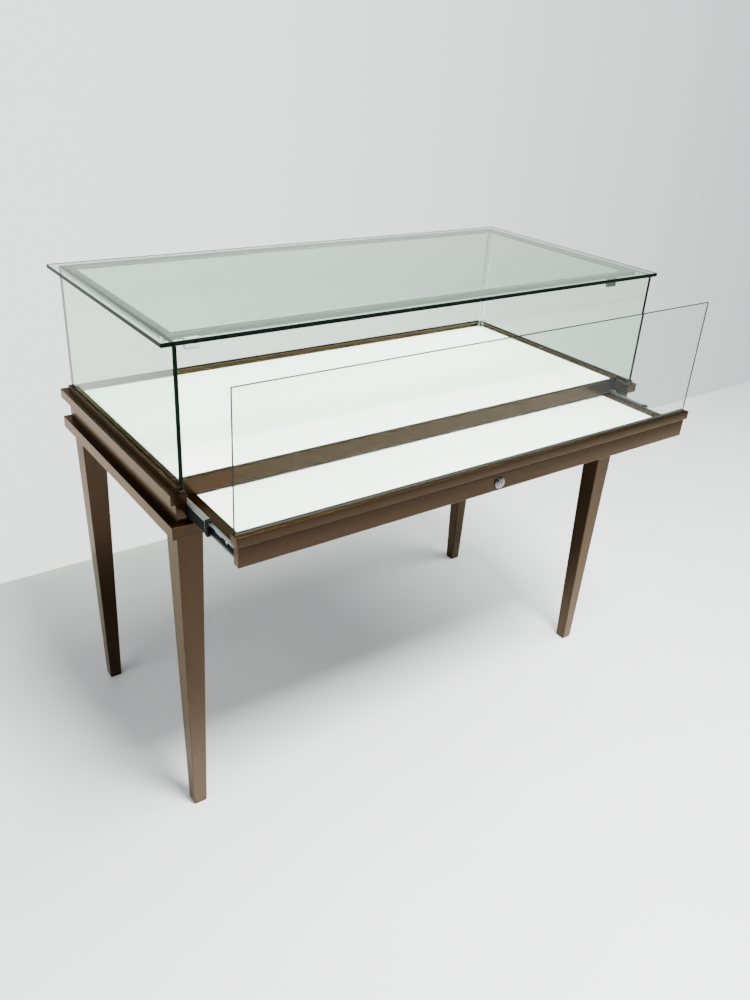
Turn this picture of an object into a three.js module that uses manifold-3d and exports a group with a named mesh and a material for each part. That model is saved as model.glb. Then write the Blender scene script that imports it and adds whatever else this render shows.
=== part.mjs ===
// Jewelry display cabinet: a glass case on four tapered legs, with a drawer whose front carries
// the sliding front pane. Millimetres; X along the case, Y to the rear, Z up.

import * as THREE from 'three';
import * as BufferGeometryUtils from 'three/addons/utils/BufferGeometryUtils.js';
import Module from 'manifold-3d';

const wasm = await Module();
wasm.setup();

// Case, over its mouldings
const caseLength = 1200;
const caseDepth = 568;

// General fits
const fitGap = 0.3;
const mitreGap = 0.3;

// Legs and their glides
const footPadThickness = 4;
const footPadMargin = 1;
const footPlugHeight = 15;
const legHeight = 668;
const legTopWidth = 50;
const legFootWidth = 28;
const legWall = 2;
const legTopPlate = 4;
const legInset = 15;

// Lower moulding and the board inside it
const baseHeight = 25;
const basePanelThickness = 9;
const basePanelLedge = 10;

// Recessed band between the mouldings
const fasciaHeight = 43;
const fasciaRecess = 13;
const fasciaThickness = 19;
const fasciaFrontSetback = 10;

// Upper moulding: flange, outer bead beside the glass, ledge under the deck
const corniceHeight = 20;
const corniceWidth = 30;
const ledgeWidth = 15;
const beadHeight = 10;
const beadRecess = 13;

// White deck, its retaining strips and the fixed rail in front of it
const deckThickness = 8;
const deckRise = 3;
const stripWidth = 10;
const rearStripWidth = 16;
const stripHeight = 7;
const frontRailSetback = 39;
const frontRailThickness = 12;
const frontRailHeight = 31.5;

// Glass
const glassInset = 19;
const sideGlassThickness = 8;
const sideGlassHeight = 253.7;
const sideGlassFrontSetback = 4;
const seatThickness = 3;
const topGlassThickness = 8;
const topGlassSetback = 4;

// Lighting under the top pane
const channelWidth = 14;
const channelHeight = 9;
const channelWall = 1.2;
const frontChannelSetback = 44;
const tapeWidth = 8;
const tapeThickness = 1.5;
const coverWidth = 12;

// Stops behind the front pane's top edge
const stopLength = 27;
const stopThickness = 7;
const stopOverlap = 1;
const stopGap = 0.8;
const leftStopFromEnd = 60;
const rightStopFromEnd = 134;

// Power supply inside the case and its socket in the rear
const driverLength = 150;
const driverDepth = 42;
const driverHeight = 28;
const driverFromEnd = 175;
const driverFromRear = 42;
const inletRadius = 7;
const inletFlangeRadius = 9;
const inletFlangeThickness = 2;
const inletBoreRadius = 4;
const inletBoreDepth = 12;
const inletRise = 20;

// Drawer
const drawerOpening = 178;
const drawerEndGap = 2;
const drawerFootGap = 2;
const drawerTopDrop = 1.5;
const drawerFrontThickness = 21;
const drawerFrontRecess = 5;
const drawerDepth = 425;
const drawerSideThickness = 20;
const drawerSideHeight = 26.9;
const drawerTopGap = 0.6;
const drawerRim = 5.5;
const drawerPanelThickness = 4;
const drawerGrooveDepth = 5;
const drawerRearThickness = 12;

// Sliding front pane, standing in the drawer front
const frontPaneThickness = 5;
const frontPaneHeight = 258;
const frontPaneSetback = 15;
const frontPaneEndGap = 8;
const frontPaneSlotDepth = 12.5;

// Ball-bearing slides
const slideLength = 400;
const slideHeight = 36.5;
const slideThickness = 12.7;
const slideMetal = 1.2;
const slideRunningGap = 0.4;
const slideBallSpace = 4.1;
const slideRise = 22.4;
const slideFrontSetback = 30;
const slideLipSetback = 1;

// Cam lock in the drawer front
const lockRise = 18.5;
const lockRingRadius = 12;
const lockRingThickness = 2.5;
const lockBarrelRadius = 9.5;
const lockProtrusion = 5;
const lockChamfer = 0.8;
const lockPlugRadius = 6;
const lockPlugProtrusion = 1;
const lockRunningGap = 0.2;
const keywayWidth = 1.6;
const keywayHeight = 7;
const keywayDepth = 4;
const camLength = 28;
const camWidth = 8.4;
const camThickness = 3;
const camTailRadius = 3;
const camTailEnd = 1.5;
const camMortiseMargin = 3;
const camMortiseDepth = 12;

const roundSegments = 32;

// Finishes
const finish = (color, metalness, roughness, extra = {}) =>
  new THREE.MeshStandardMaterial({ color, metalness, roughness, ...extra });
const bronze = () => finish(0x6b4a2e, 0.9, 0.35);
const blackPlastic = () => finish(0x151515, 0, 0.6);
const whiteBoard = () => finish(0xe9eceb, 0, 0.5);
const clearGlass = () => finish(0xc8d6cc, 0, 0.05, { transparent: true, opacity: 0.3 });
const clearAcrylic = () => finish(0xe6eae8, 0, 0.1, { transparent: true, opacity: 0.4 });
const zincSteel = () => finish(0x8c8f92, 0.9, 0.35);
const aluminium = () => finish(0xb5b9b8, 0.9, 0.4);
const chrome = () => finish(0xd8d8d8, 1, 0.1);
const tapeWhite = () => finish(0xfff6e0, 0, 0.5);
const rubber = () => finish(0x202220, 0, 0.8);

// Levels from the floor up
const baseUnder = footPadThickness + legHeight;
const baseTop = baseUnder + baseHeight;
const corniceUnder = baseTop + fasciaHeight;
const corniceTop = corniceUnder + corniceHeight;
const deckTop = corniceTop + deckRise;
const deckUnder = deckTop - deckThickness;
const paneFoot = corniceTop + seatThickness;
const topGlassUnder = paneFoot + sideGlassHeight + fitGap;
const channelUnder = topGlassUnder - channelHeight;
const frontRailUnder = deckTop - frontRailHeight;
const drawerSideTop = frontRailUnder - drawerTopGap;
const drawerPanelTop = drawerSideTop - drawerRim;
const lockHeight = baseTop + lockRise;
const slideCentre = baseTop + slideRise;

// Planes across the case: halfLength and halfDepth are its outer faces
const halfLength = caseLength / 2;
const halfDepth = caseDepth / 2;
const glassInner = glassInset + sideGlassThickness;
const stripOuter = glassInner + fitGap;
const stripInner = stripOuter + stripWidth;
const rearStripFace = halfDepth - stripOuter - rearStripWidth;
const fasciaInner = fasciaRecess + fasciaThickness;
const baseRailWidth = legInset + legTopWidth;
const frontRailFace = -halfDepth + frontRailSetback;
const frontRailBack = frontRailFace + frontRailThickness;
const sideGlassFront = -halfDepth + sideGlassFrontSetback;
const drawerFace = -halfDepth - drawerOpening;
const drawerBack = drawerFace + drawerFrontThickness;
const drawerRear = drawerBack + drawerDepth;
const drawerHalfLength = halfLength - corniceWidth - drawerEndGap;
const drawerSideOuter = halfLength - fasciaInner - slideThickness;
const drawerSideInner = drawerSideOuter - drawerSideThickness;
const frontPaneCentre = drawerFace + frontPaneSetback;
const lockFascia = drawerFace + drawerFrontRecess;
const lockFront = lockFascia - lockProtrusion;
const camFront = drawerBack + fitGap;
const camBack = camFront + camThickness;

// A mesh with its faces pointing out, whichever way its loops were listed.
function closedGeometry(points, triangles) {
  let volume = 0;
  const a = new THREE.Vector3();
  const b = new THREE.Vector3();
  const c = new THREE.Vector3();
  for (const [i, j, k] of triangles) {
    a.set(...points[i]);
    b.set(...points[j]);
    c.set(...points[k]);
    volume += a.dot(b.cross(c));
  }
  const faces = volume > 0 ? triangles : triangles.map(([i, j, k]) => [i, k, j]);
  const geometry = new THREE.BufferGeometry();
  geometry.setAttribute('position', new THREE.Float32BufferAttribute(points.flat(), 3));
  geometry.setIndex(faces.flat());
  return geometry;
}

// A closed section carried between two ends that may each be cut on a slant. startAt and endAt
// give the end's place for a section point; place turns (along, inset, height) into X, Y, Z.
function sweptRail(section, startAt, endAt, place) {
  const count = section.length;
  const start = section.map(([inset, height]) => place(startAt(inset), inset, height));
  const end = section.map(([inset, height]) => place(endAt(inset), inset, height));
  const outline = section.map(([inset, height]) => new THREE.Vector2(inset, height));
  const cap = THREE.ShapeUtils.triangulateShape(outline, []);
  const farCap = cap.map((face) => face.map((i) => count + i));
  const sides = section.flatMap((_, i) => {
    const next = (i + 1) % count;
    return [[i, next, count + next], [i, count + next, count + i]];
  });
  return closedGeometry([...start, ...end], consistentFaces([...cap, ...farCap, ...sides]));
}

// Turns faces until neighbours across every edge agree, starting from the first face.
function consistentFaces(faces) {
  const edgeKey = (i, j) => `${Math.min(i, j)}_${Math.max(i, j)}`;
  const edges = (face) => [[face[0], face[1]], [face[1], face[2]], [face[2], face[0]]];
  const touching = new Map();
  faces.forEach((face, index) => {
    for (const [i, j] of edges(face)) {
      const key = edgeKey(i, j);
      touching.set(key, [...(touching.get(key) ?? []), index]);
    }
  });
  const result = faces.map((face) => [...face]);
  const done = new Set([0]);
  const queue = [0];
  while (queue.length > 0) {
    const current = queue.pop();
    for (const [i, j] of edges(result[current])) {
      for (const other of touching.get(edgeKey(i, j))) {
        if (done.has(other)) continue;
        const sameWay = edges(result[other]).some(([p, q]) => p === i && q === j);
        if (sameWay) result[other].reverse();
        done.add(other);
        queue.push(other);
      }
    }
  }
  return result;
}

// Square rings joined into one skin; the first and last ring are closed flat.
function squareLoft(centreX, centreY, rings) {
  const points = rings.flatMap(([width, z]) => {
    const h = width / 2;
    return [[-h, -h], [h, -h], [h, h], [-h, h]].map(([x, y]) => [centreX + x, centreY + y, z]);
  });
  const faces = [[0, 1, 2], [0, 2, 3]];
  for (let ring = 0; ring + 1 < rings.length; ring += 1) {
    const low = ring * 4;
    for (let i = 0; i < 4; i += 1) {
      const next = (i + 1) % 4;
      faces.push([low + i, low + next, low + 4 + next], [low + i, low + 4 + next, low + 4 + i]);
    }
  }
  const last = (rings.length - 1) * 4;
  faces.push([last, last + 1, last + 2], [last, last + 2, last + 3]);
  return closedGeometry(points, consistentFaces(faces));
}

// A block between two corners.
function block([x0, x1], [y0, y1], [z0, z1]) {
  const geometry = new THREE.BoxGeometry(x1 - x0, y1 - y0, z1 - z0);
  geometry.translate((x0 + x1) / 2, (y0 + y1) / 2, (z0 + z1) / 2);
  return geometry;
}

function toSolid(geometry) {
  const bare = geometry.clone();
  bare.deleteAttribute('normal');
  bare.deleteAttribute('uv');
  const merged = BufferGeometryUtils.mergeVertices(bare);
  const triVerts = new Uint32Array(merged.index.array);
  const vertProperties = new Float32Array(merged.attributes.position.array);
  return new wasm.Manifold(new wasm.Mesh({ numProp: 3, vertProperties, triVerts }));
}

function toGeometry(solid) {
  const mesh = solid.getMesh();
  const geometry = new THREE.BufferGeometry();
  geometry.setAttribute('position', new THREE.Float32BufferAttribute(mesh.vertProperties, 3));
  geometry.setIndex(new THREE.Uint32BufferAttribute(mesh.triVerts, 1));
  return geometry;
}

const cutAway = (body, ...tools) =>
  toGeometry(tools.reduce((solid, tool) => solid.subtract(toSolid(tool)), toSolid(body)));
const joined = (first, ...others) =>
  toGeometry(others.reduce((solid, other) => solid.add(toSolid(other)), toSolid(first)));

// A round profile about an axis along Y through (centreX, centreZ). Points are [radius, y].
function turned(profile, centreX, centreZ) {
  const outline = profile.map(([radius, y]) => new THREE.Vector2(radius, y));
  const geometry = new THREE.LatheGeometry(outline, roundSegments);
  geometry.translate(centreX, 0, centreZ);
  geometry.deleteAttribute('normal');
  geometry.deleteAttribute('uv');
  const merged = BufferGeometryUtils.mergeVertices(geometry);
  const index = Array.from(merged.index.array);
  const points = Array.from({ length: merged.attributes.position.count }, (_, i) => [
    merged.attributes.position.getX(i),
    merged.attributes.position.getY(i),
    merged.attributes.position.getZ(i),
  ]);
  const faces = [];
  for (let i = 0; i < index.length; i += 3) {
    const face = index.slice(i, i + 3);
    if (new Set(face).size === 3) faces.push(face);
  }
  return closedGeometry(points, faces);
}

const cabinet = new THREE.Group();

function addPiece(name, geometry, material) {
  const mesh = new THREE.Mesh(geometry, material);
  mesh.name = name;
  cabinet.add(mesh);
}

// Where a rail lies: along the case's side, front or rear, with inset measured inwards.
const alongSide = {
  left: (along, inset, height) => [-halfLength + inset, along, height],
  right: (along, inset, height) => [halfLength - inset, along, height],
  front: (along, inset, height) => [along, -halfDepth + inset, height],
  rear: (along, inset, height) => [along, halfDepth - inset, height],
};
const mitreBack = mitreGap / Math.SQRT2;
const rearMitre = (inset) => halfDepth - inset - mitreBack;
const frontMitre = (inset) => -halfDepth + inset + mitreBack;
const rightMitre = (inset) => halfLength - inset - mitreBack;
const leftMitre = (inset) => -halfLength + inset + mitreBack;
const mirrorX = { left: -1, right: 1 };

// Legs: tapered square tubes with a closed top, each on a black glide
function addLegs() {
  const centreInset = legInset + legTopWidth / 2;
  const places = {
    front_left: [-1, -1], front_right: [1, -1], rear_left: [-1, 1], rear_right: [1, 1],
  };
  const taper = (legTopWidth - legFootWidth) / legHeight;
  const widthAt = (z) => legFootWidth + taper * (z - footPadThickness);
  const roof = baseUnder - legTopPlate;
  const bore = (z) => widthAt(z) - 2 * legWall;
  const plugTop = footPadThickness + footPlugHeight;
  for (const [place, [sideX, sideY]] of Object.entries(places)) {
    const x = sideX * (halfLength - centreInset);
    const y = sideY * (halfDepth - centreInset);
    addPiece(`leg_${place}`, squareLoft(x, y, [
      [bore(roof), roof],
      [bore(footPadThickness), footPadThickness],
      [widthAt(footPadThickness), footPadThickness],
      [widthAt(baseUnder), baseUnder],
    ]), bronze());
    const plug = bore(footPadThickness) - 2 * fitGap;
    const pad = legFootWidth - 2 * footPadMargin;
    addPiece(`foot_${place}`, squareLoft(x, y, [
      [pad, 0],
      [pad, footPadThickness],
      [plug, footPadThickness],
      [plug, plugTop],
    ]), blackPlastic());
  }
}

// Lower moulding: four mitred rails, rebated for the board that closes the case
function addBase() {
  const panelUnder = baseTop - basePanelThickness;
  const rebate = baseRailWidth - basePanelLedge;
  const section = [
    [0, baseUnder], [baseRailWidth, baseUnder], [baseRailWidth, panelUnder],
    [rebate, panelUnder], [rebate, baseTop], [0, baseTop],
  ];
  const mortiseReach = camLength + camWidth / 2;
  const closedCam = [camFront + drawerOpening, camBack + drawerOpening];
  const mortise = block(
    [-camWidth, mortiseReach],
    [closedCam[0] - camMortiseMargin, closedCam[1] + camMortiseMargin],
    [baseTop - camMortiseDepth, baseTop + camMortiseMargin],
  );
  const front = sweptRail(section, leftMitre, rightMitre, alongSide.front);
  addPiece('base_front_rail', cutAway(front, mortise), bronze());
  addPiece('base_rear_rail', sweptRail(section, leftMitre, rightMitre, alongSide.rear), bronze());
  for (const side of ['left', 'right']) {
    const rail = sweptRail(section, frontMitre, rearMitre, alongSide[side]);
    addPiece(`base_${side}_rail`, rail, bronze());
  }
  const panelX = halfLength - rebate - fitGap;
  const panelY = halfDepth - rebate - fitGap;
  addPiece('base_panel', block([-panelX, panelX], [-panelY, panelY], [panelUnder, baseTop]),
    whiteBoard());
}

// Recessed band: the side boards run through, the rear board stands between them
function addFascias() {
  const rearFace = halfDepth - fasciaRecess;
  const frontEnd = -halfDepth + fasciaFrontSetback;
  const levels = [baseTop, corniceUnder];
  const innerX = halfLength - fasciaInner;
  const outerX = halfLength - fasciaRecess;
  addPiece('fascia_left', block([-outerX, -innerX], [frontEnd, rearFace], levels), bronze());
  addPiece('fascia_right', block([innerX, outerX], [frontEnd, rearFace], levels), bronze());
  const hole = new THREE.CylinderGeometry(
    inletRadius + fitGap, inletRadius + fitGap, 3 * fasciaThickness, roundSegments);
  hole.translate(halfLength - driverFromEnd, rearFace, baseTop + inletRise);
  const rearBoard = block([-innerX, innerX], [rearFace - fasciaThickness, rearFace], levels);
  addPiece('fascia_rear', cutAway(rearBoard, hole), bronze());
}

// Upper moulding: flange, outer bead beside the glass and a ledge for the deck
function addCornices() {
  const beadInner = glassInset - fitGap;
  const ledgeInner = corniceWidth + ledgeWidth;
  const section = [
    [0, corniceUnder], [ledgeInner, corniceUnder], [ledgeInner, deckUnder],
    [corniceWidth, deckUnder], [corniceWidth, corniceTop], [beadInner, corniceTop],
    [beadInner, corniceTop + beadHeight], [beadRecess, corniceTop + beadHeight],
    [beadRecess, corniceTop], [0, corniceTop],
  ];
  const fullEnd = () => -halfDepth;
  const reach = corniceHeight + beadHeight;
  for (const side of ['left', 'right']) {
    const rail = sweptRail(section, fullEnd, rearMitre, alongSide[side]);
    const sign = mirrorX[side];
    const span = (a, b) => [Math.min(sign * a, sign * b), Math.max(sign * a, sign * b)];
    const ledgeCut = block(
      span(halfLength - corniceWidth, halfLength - ledgeInner - reach),
      [-halfDepth - reach, frontRailBack + fitGap],
      [corniceUnder - reach, deckTop],
    );
    const beadCut = block(
      span(halfLength - beadRecess + fitGap, halfLength - glassInset),
      [-halfDepth - reach, sideGlassFront],
      [corniceTop, corniceTop + reach],
    );
    addPiece(`cornice_${side}`, cutAway(rail, ledgeCut, beadCut), bronze());
  }
  addPiece('cornice_rear', sweptRail(section, leftMitre, rightMitre, alongSide.rear), bronze());
}

// Deck, the strips that hold the glass against the bead, and the fixed rail across the front
function addDeck() {
  const edgeX = halfLength - corniceWidth - fitGap;
  const edgeY = halfDepth - corniceWidth - fitGap;
  addPiece('deck', block([-edgeX, edgeX], [frontRailBack, edgeY], [deckUnder, deckTop]),
    whiteBoard());
  const stripTop = deckTop + stripHeight;
  const stripSection = [
    [stripOuter, deckTop], [stripInner, deckTop], [stripInner, stripTop], [stripOuter, stripTop],
  ];
  const stripFront = () => frontRailFace;
  const stripRear = () => halfDepth - stripOuter;
  for (const side of ['left', 'right']) {
    const strip = sweptRail(stripSection, stripFront, stripRear, alongSide[side]);
    addPiece(`inner_strip_${side}`, strip, bronze());
  }
  const rearStripEnd = halfLength - stripInner - fitGap;
  addPiece('inner_strip_rear', block(
    [-rearStripEnd, rearStripEnd],
    [rearStripFace, halfDepth - stripOuter],
    [deckTop, stripTop],
  ), bronze());

  const bandEnd = halfLength - fasciaInner;
  const corniceEnd = halfLength - corniceWidth;
  const notchX = drawerSideOuter - fitGap;
  const notchTop = slideCentre + slideHeight / 2 + fitGap;
  const rightHalf = [
    [notchX, frontRailUnder], [notchX, notchTop], [bandEnd, notchTop], [bandEnd, corniceUnder],
    [corniceEnd, corniceUnder], [corniceEnd, deckTop],
  ];
  const leftHalf = rightHalf.map(([x, z]) => [-x, z]).reverse();
  const outline = new THREE.Shape([...rightHalf, ...leftHalf].map(([x, z]) => new THREE.Vector2(x, z)));
  const rail = new THREE.ExtrudeGeometry(outline, { depth: frontRailThickness, bevelEnabled: false });
  rail.rotateX(Math.PI / 2);
  rail.translate(0, frontRailBack, 0);
  addPiece('front_rail', rail, bronze());
}

// Fixed glass: two sides and the rear on rubber seats, and the top pane over them
function addGlass() {
  const outerX = halfLength - glassInset;
  const innerX = outerX - sideGlassThickness;
  const outerY = halfDepth - glassInset;
  const innerY = outerY - sideGlassThickness;
  const paneLevels = [paneFoot, paneFoot + sideGlassHeight];
  const seatLevels = [corniceTop, paneFoot];
  const rearSpan = [-innerX + fitGap, innerX - fitGap];
  const sideSpan = [sideGlassFront, outerY];
  addPiece('glass_left', block([-outerX, -innerX], sideSpan, paneLevels), clearGlass());
  addPiece('glass_right', block([innerX, outerX], sideSpan, paneLevels), clearGlass());
  addPiece('glass_rear', block(rearSpan, [innerY, outerY], paneLevels), clearGlass());
  addPiece('seat_left', block([-outerX, -innerX], sideSpan, seatLevels), rubber());
  addPiece('seat_right', block([innerX, outerX], sideSpan, seatLevels), rubber());
  addPiece('seat_rear', block(rearSpan, [innerY, outerY], seatLevels), rubber());
  const topLevels = [topGlassUnder, topGlassUnder + topGlassThickness];
  const topY = halfDepth - topGlassSetback;
  addPiece('glass_top', block([-halfLength, halfLength], [-topY, topY], topLevels), clearGlass());
}

// Lighting: open-bottomed channels round the top with a tape in each, and the corner cable cover
function addLighting() {
  const outerX = halfLength - glassInner - fitGap;
  const innerX = outerX - channelWidth;
  const rearOuter = halfDepth - glassInner - fitGap;
  const rearInner = rearOuter - channelWidth;
  const frontOuter = -halfDepth + frontChannelSetback;
  const frontInner = frontOuter + channelWidth;
  const runs = {
    front: [[-outerX, outerX], [frontOuter, frontInner], 'x'],
    rear: [[-innerX + fitGap, innerX - fitGap], [rearInner, rearOuter], 'x'],
    left: [[-outerX, -innerX], [frontInner + fitGap, rearOuter], 'y'],
    right: [[innerX, outerX], [frontInner + fitGap, rearOuter], 'y'],
  };
  const tapeTop = topGlassUnder - channelWall;
  const tapeLevels = [tapeTop - tapeThickness, tapeTop];
  const coverX = halfLength - stripInner - fitGap;
  const coverY = rearStripFace - fitGap;
  const narrowed = ([low, high], inset) => [low + inset, high - inset];
  for (const [place, [spanX, spanY, along]] of Object.entries(runs)) {
    const past = channelWidth;
    const cutX = along === 'x' ? narrowed(spanX, -past) : narrowed(spanX, channelWall);
    const cutY = along === 'y' ? narrowed(spanY, -past) : narrowed(spanY, channelWall);
    const body = block(spanX, spanY, [channelUnder, topGlassUnder]);
    const hollow = block(cutX, cutY, [channelUnder - past, tapeTop]);
    addPiece(`led_channel_${place}`, cutAway(body, hollow), aluminium());
    const beside = (channelWidth - tapeWidth) / 2;
    const tape = block(narrowed(spanX, beside), narrowed(spanY, beside), tapeLevels);
    addPiece(`led_tape_${place}`, tape, tapeWhite());
  }
  addPiece('cable_cover', block(
    [coverX - coverWidth, coverX],
    [coverY - coverWidth, coverY],
    [deckTop, channelUnder],
  ), clearAcrylic());
}

// Stops that the closed front pane leans against
function addPaneStops() {
  const closedPaneBack = frontPaneCentre + drawerOpening + frontPaneThickness / 2;
  const face = closedPaneBack + stopGap;
  const paneTop = corniceTop - drawerTopDrop - frontPaneSlotDepth + frontPaneHeight;
  const places = { left: -halfLength + leftStopFromEnd, right: halfLength - rightStopFromEnd };
  for (const [side, x] of Object.entries(places)) {
    addPiece(`pane_stop_${side}`, block(
      [x - stopLength / 2, x + stopLength / 2],
      [face, face + stopThickness],
      [paneTop - stopOverlap, topGlassUnder],
    ), rubber());
  }
}

// Power supply on the base board and its socket in the rear band
function addPower() {
  const x = halfLength - driverFromEnd;
  const rear = halfDepth - fasciaInner - driverFromRear;
  addPiece('led_driver', block(
    [x - driverLength / 2, x + driverLength / 2],
    [rear - driverDepth / 2, rear + driverDepth / 2],
    [baseTop, baseTop + driverHeight],
  ), whiteBoard());
  const face = halfDepth - fasciaRecess;
  const mouth = face + inletFlangeThickness;
  const inner = face - fasciaThickness;
  addPiece('power_inlet', turned([
    [0, inner], [inletRadius, inner], [inletRadius, face], [inletFlangeRadius, face],
    [inletFlangeRadius, mouth], [inletBoreRadius, mouth],
    [inletBoreRadius, mouth - inletBoreDepth], [0, mouth - inletBoreDepth],
  ], x, baseTop + inletRise), blackPlastic());
}

// Ball-bearing slides: three nested members a side. The cabinet member is screwed to the side
// band, the middle one runs half the drawer's travel, the drawer member faces the other way.
function addSlides() {
  const wall = halfLength - fasciaInner;
  const half = slideHeight / 2;
  const closedFront = -halfDepth + slideFrontSetback;
  const reach = slideThickness - slideLipSetback;
  const middleWeb = wall - slideMetal - slideRunningGap;
  const middleLip = wall - reach;
  const innerLip = middleWeb - slideBallSpace;
  const outerMember = channelSection(wall, wall - reach, half);
  const middleMember = channelSection(middleWeb, middleLip, half - slideBallSpace);
  const innerMember = channelSection(drawerSideOuter, innerLip, half - 2 * slideBallSpace);
  const starts = [closedFront, closedFront - drawerOpening / 2, drawerBack];
  const names = ['outer', 'middle', 'inner'];
  [outerMember, middleMember, innerMember].forEach((section, i) => {
    for (const [side, sign] of Object.entries(mirrorX)) {
      const place = (along, x, z) => [sign * x, along, z];
      const rail = sweptRail(section, () => starts[i], () => starts[i] + slideLength, place);
      addPiece(`slide_${names[i]}_${side}`, rail, zincSteel());
    }
  });
}

// A thin U section with its web at webX and its lips reaching to lipX, centred on the slide.
function channelSection(webX, lipX, half) {
  const inward = Math.sign(lipX - webX);
  const webInner = webX + inward * slideMetal;
  const low = slideCentre - half;
  const high = slideCentre + half;
  return [
    [webX, low], [lipX, low], [lipX, low + slideMetal], [webInner, low + slideMetal],
    [webInner, high - slideMetal], [lipX, high - slideMetal], [lipX, high], [webX, high],
  ];
}

// Drawer: moulded front, grooved sides, rear and the white board; the front pane stands in a slot
function addDrawer() {
  const frontTop = corniceTop - drawerTopDrop;
  const frontFoot = baseTop + drawerFootGap;
  const recessedX = drawerHalfLength - drawerFrontRecess;
  const moulding = block(
    [-drawerHalfLength, drawerHalfLength], [drawerFace, drawerBack], [corniceUnder, frontTop]);
  const band = block([-recessedX, recessedX], [lockFascia, drawerBack],
    [frontFoot, corniceUnder + drawerFrontRecess]);
  const paneHalf = halfLength - glassInner - frontPaneEndGap;
  const slotHalf = frontPaneThickness / 2 + fitGap;
  const slotFoot = frontTop - frontPaneSlotDepth;
  const slot = block(
    [-paneHalf - fitGap, paneHalf + fitGap],
    [frontPaneCentre - slotHalf, frontPaneCentre + slotHalf],
    [slotFoot, frontTop + frontPaneSlotDepth],
  );
  const lockHole = new THREE.CylinderGeometry(
    lockBarrelRadius + fitGap, lockBarrelRadius + fitGap, 4 * drawerFrontThickness, roundSegments);
  lockHole.translate(0, drawerBack, lockHeight);
  addPiece('drawer_front', cutAway(joined(moulding, band), slot, lockHole), bronze());

  const sideFoot = drawerSideTop - drawerSideHeight;
  const panelUnder = drawerPanelTop - drawerPanelThickness;
  const grooveX = drawerSideInner + drawerGrooveDepth;
  const grooveSection = [
    [drawerSideInner, sideFoot], [drawerSideOuter, sideFoot], [drawerSideOuter, drawerSideTop],
    [drawerSideInner, drawerSideTop], [drawerSideInner, drawerPanelTop + fitGap],
    [grooveX, drawerPanelTop + fitGap], [grooveX, panelUnder - fitGap],
    [drawerSideInner, panelUnder - fitGap],
  ];
  for (const [side, sign] of Object.entries(mirrorX)) {
    const place = (along, x, z) => [sign * x, along, z];
    const rail = sweptRail(grooveSection, () => drawerBack, () => drawerRear, place);
    addPiece(`drawer_side_${side}`, rail, bronze());
  }
  addPiece('drawer_rear', block(
    [-drawerSideInner, drawerSideInner],
    [drawerRear - drawerRearThickness, drawerRear],
    [sideFoot, drawerSideTop],
  ), bronze());
  const panelX = grooveX - fitGap;
  addPiece('drawer_panel', block(
    [-panelX, panelX],
    [drawerBack + fitGap, drawerRear - drawerRearThickness - fitGap],
    [panelUnder, drawerPanelTop],
  ), whiteBoard());
  addPiece('front_pane', block(
    [-paneHalf, paneHalf],
    [frontPaneCentre - frontPaneThickness / 2, frontPaneCentre + frontPaneThickness / 2],
    [slotFoot, slotFoot + frontPaneHeight],
  ), clearGlass());
}

// Cam lock: ringed barrel through the drawer front, a plug with its keyway, and the cam
function addLock() {
  const bore = lockPlugRadius + lockRunningGap;
  const ringFace = lockFascia - lockRingThickness;
  addPiece('lock_body', turned([
    [bore, lockFront], [lockBarrelRadius - lockChamfer, lockFront],
    [lockBarrelRadius, lockFront + lockChamfer], [lockBarrelRadius, ringFace],
    [lockRingRadius - lockChamfer, ringFace], [lockRingRadius, ringFace + lockChamfer],
    [lockRingRadius, lockFascia], [lockBarrelRadius, lockFascia],
    [lockBarrelRadius, drawerBack], [bore, drawerBack], [bore, lockFront],
  ], 0, lockHeight), chrome());

  const plugFace = lockFront - lockPlugProtrusion;
  const plug = turned([
    [0, plugFace], [lockPlugRadius, plugFace], [lockPlugRadius, drawerBack],
    [camTailRadius, drawerBack], [camTailRadius, camBack + camTailEnd], [0, camBack + camTailEnd],
  ], 0, lockHeight);
  const keyway = block(
    [-keywayWidth / 2, keywayWidth / 2],
    [plugFace - keywayDepth, plugFace + keywayDepth],
    [lockHeight - keywayHeight / 2, lockHeight + keywayHeight / 2],
  );
  addPiece('lock_plug', cutAway(plug, keyway), chrome());

  const outline = new THREE.Shape();
  const tip = camLength - camWidth / 2;
  outline.absarc(0, 0, camWidth / 2, Math.PI / 2, 3 * Math.PI / 2);
  outline.absarc(tip, 0, camWidth / 2, -Math.PI / 2, Math.PI / 2);
  const eye = new THREE.Path();
  eye.absarc(0, 0, camTailRadius + fitGap, 0, 2 * Math.PI, true);
  outline.holes.push(eye);
  const cam = new THREE.ExtrudeGeometry(outline, {
    depth: camThickness, bevelEnabled: false, curveSegments: roundSegments / 2,
  });
  cam.rotateX(Math.PI / 2);
  cam.translate(0, camBack, lockHeight);
  addPiece('lock_cam', cam, zincSteel());
}

addLegs();
addBase();
addFascias();
addCornices();
addDeck();
addGlass();
addLighting();
addPaneStops();
addPower();
addSlides();
addDrawer();
addLock();

// The origin is on the floor under the middle of the whole part, open drawer included.
const frontmost = lockFront - lockPlugProtrusion;
cabinet.position.y = -(frontmost + halfDepth) / 2;

export default cabinet;
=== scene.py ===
"""Jewelry display cabinet: its pieces and finishes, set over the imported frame. Metres, Z up."""

import math

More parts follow.
